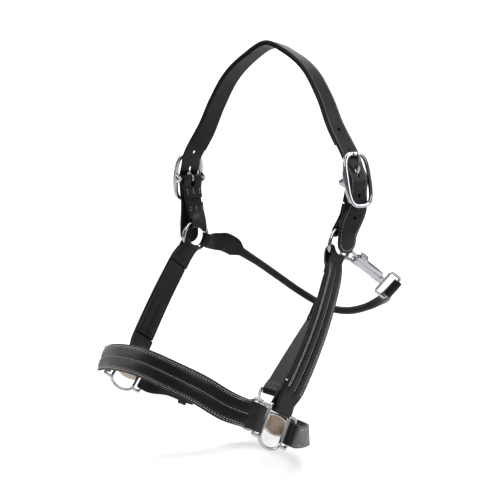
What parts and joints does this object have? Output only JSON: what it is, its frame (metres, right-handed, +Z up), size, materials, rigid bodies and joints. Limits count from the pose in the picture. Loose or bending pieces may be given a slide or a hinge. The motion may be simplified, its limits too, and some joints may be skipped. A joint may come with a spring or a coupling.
{
  "type": "headcollar",
  "caption": "Leather headcollar: lined headpiece on side buckles, padded cheeks and noseband, rolled throat lash on a trigger snap, jowl strap and chin strap with a lead ring.",
  "frame": {"origin": "the poll: the middle of the underside of the headpiece lining at its highest point, where the headcollar rests on the horse", "axes": "+Z up, +X to the horse's left, which is the near side, -Y towards the nose"},
  "size_m": [0.2522, 0.3298, 0.4241],
  "materials": {
    "leather": "satin black harness leather with pale stitching",
    "lining": "soft black lining leather",
    "metal": "polished",
    "plate": "satin champagne",
    "spring": "drawn wire"
  },
  "bodies": {
    "strapwork": {"headpiece": "leather", "near_stay": "leather", "off_stay": "leather", "near_cheekpiece": "leather", "off_cheekpiece": "leather", "noseband": "leather", "chin_strap": "leather", "jowl_strap": "leather", "throat_lash": "leather", "headpiece_lining": "lining", "near_cheek_lining": "lining", "off_cheek_lining": "lining", "noseband_lining": "lining", "near_fitting": "metal", "off_fitting": "metal", "snap_eye": "metal", "near_fitting_plate": "plate", "off_fitting_plate": "plate"},
    "near_buckle": {"near_buckle_frame": "metal"},
    "near_tongue": {"near_buckle_tongue": "metal"},
    "off_buckle": {"off_buckle_frame": "metal"},
    "off_tongue": {"off_buckle_tongue": "metal"},
    "near_ring": {"near_side_ring": "metal"},
    "off_ring": {"off_side_ring": "metal"},
    "lead_ring": {"lead_ring": "metal"},
    "jowl_dee": {"jowl_dee": "metal"},
    "chin_keeper": {"chin_keeper": "leather"},
    "snap_body": {"snap_body": "metal", "snap_spring": "spring"},
    "snap_bolt": {"snap_bolt": "metal"}
  },
  "joints": [
    {"name": "near_buckle_swing", "type": "hinge", "parent": "strapwork", "child": "near_buckle", "pos_m": [0.10399, -0.00984, -0.14123], "axis": [0.331, 0.9428, 0.0401], "range_deg": [-2, 2]},
    {"name": "near_tongue_lift", "type": "hinge", "parent": "near_buckle", "child": "near_tongue", "pos_m": [0.10399, -0.00984, -0.14123], "axis": [0.331, 0.9428, 0.0401], "range_deg": [0, 7]},
    {"name": "off_buckle_swing", "type": "hinge", "parent": "strapwork", "child": "off_buckle", "pos_m": [-0.09896, -0.01406, -0.14123], "axis": [-0.33, -0.9431, -0.04], "range_deg": [-2, 1.5]},
    {"name": "off_tongue_lift", "type": "hinge", "parent": "off_buckle", "child": "off_tongue", "pos_m": [-0.09896, -0.01406, -0.14123], "axis": [-0.33, -0.9431, -0.04], "range_deg": [0, 7]},
    {"name": "near_ring_turn", "type": "hinge", "parent": "strapwork", "child": "near_ring", "pos_m": [0.096, -0.021, -0.205], "axis": [0.957, -0.29, 0], "continuous": true},
    {"name": "off_ring_turn", "type": "hinge", "parent": "strapwork", "child": "off_ring", "pos_m": [-0.089, -0.02, -0.209], "axis": [0.9404, -0.3401, 0], "continuous": true},
    {"name": "lead_ring_turn", "type": "hinge", "parent": "strapwork", "child": "lead_ring", "pos_m": [0.005, -0.042, -0.3995], "axis": [0.899, -0.438, 0], "continuous": true},
    {"name": "jowl_dee_swing", "type": "hinge", "parent": "strapwork", "child": "jowl_dee", "pos_m": [0.011, -0.0145, -0.3805], "axis": [0.9566, 0.2303, -0.1785], "range_deg": [-3, 5]},
    {"name": "chin_keeper_slide", "type": "slide", "parent": "strapwork", "child": "chin_keeper", "axis": [0.7646, 0.5253, -0.3733], "range_m": [-0.006, 0.006]},
    {"name": "snap_swivel", "type": "hinge", "parent": "strapwork", "child": "snap_body", "pos_m": [0.09935, -0.00995, -0.21607], "axis": [0.3472, 0.7615, -0.5473], "range_deg": [-6, 15]},
    {"name": "snap_bolt_slide", "type": "slide", "parent": "snap_body", "child": "snap_bolt", "axis": [0.3472, 0.7615, -0.5473], "range_m": [0, 0.005], "stiffness_N_per_m": 250, "springref_m": -0.003, "deforming": ["snap_spring"]}
  ]
}
